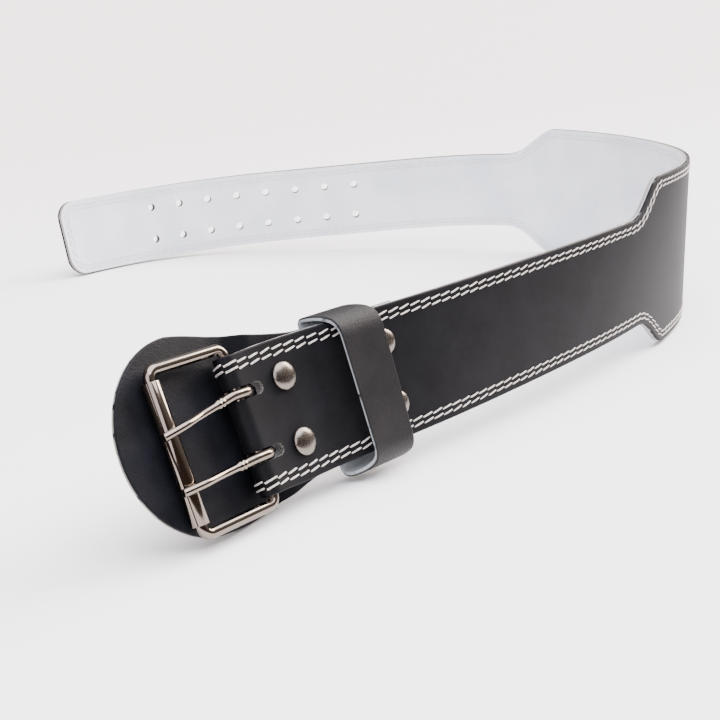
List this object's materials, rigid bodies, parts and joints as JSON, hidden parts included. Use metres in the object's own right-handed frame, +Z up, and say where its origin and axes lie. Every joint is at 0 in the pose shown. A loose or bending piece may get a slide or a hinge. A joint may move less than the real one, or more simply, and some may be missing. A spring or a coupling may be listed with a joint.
{
  "type": "weightlifting belt",
  "caption": "Leather lifting belt with a wide back, an open roller buckle with two prongs, a guard flap, a keeper and two rows of holes, standing on its edge.",
  "frame": {"origin": "on the floor, under the middle of the belt's box", "axes": "+Z up, across the standing belt's width; +Y from the buckle towards the wide back's far side; +X towards the wide back"},
  "size_m": [0.4644, 0.5962, 0.107],
  "materials": {
    "black_leather": "smooth black grain with a soft sheen",
    "pale_suede": "pale blue-grey suede",
    "bright_nickel": "bright nickel plate on steel",
    "satin_nickel": "satin nickel plate on steel"
  },
  "bodies": {
    "belt": {"belt_leather": "black_leather", "belt_lining": "pale_suede", "buckle_guard": "black_leather", "keeper_loop": "black_leather", "rivet_1": "satin_nickel", "rivet_2": "satin_nickel", "rivet_3": "satin_nickel", "rivet_4": "satin_nickel"},
    "buckle": {"buckle_frame": "bright_nickel"},
    "roller": {"buckle_roller": "bright_nickel"},
    "upper_prong": {"prong_upper": "bright_nickel"},
    "lower_prong": {"prong_lower": "bright_nickel"}
  },
  "joints": [
    {"name": "buckle_swing", "type": "hinge", "parent": "belt", "child": "buckle", "pos_m": [-0.04504, -0.24876, 0.03956], "axis": [-0.3352, 0.2771, 0.9005], "range_deg": [0, 25]},
    {"name": "prong_upper_swing", "type": "hinge", "parent": "buckle", "child": "upper_prong", "pos_m": [-0.04504, -0.24876, 0.03956], "axis": [-0.3352, 0.2771, 0.9005], "range_deg": [0, 90]},
    {"name": "prong_lower_swing", "type": "hinge", "parent": "buckle", "child": "lower_prong", "pos_m": [-0.04504, -0.24876, 0.03956], "axis": [-0.3352, 0.2771, 0.9005], "range_deg": [0, 90]},
    {"name": "roller_spin", "type": "hinge", "parent": "buckle", "child": "roller", "pos_m": [-0.07124, -0.28094, 0.03972], "axis": [-0.3352, 0.2771, 0.9005], "continuous": true}
  ]
}
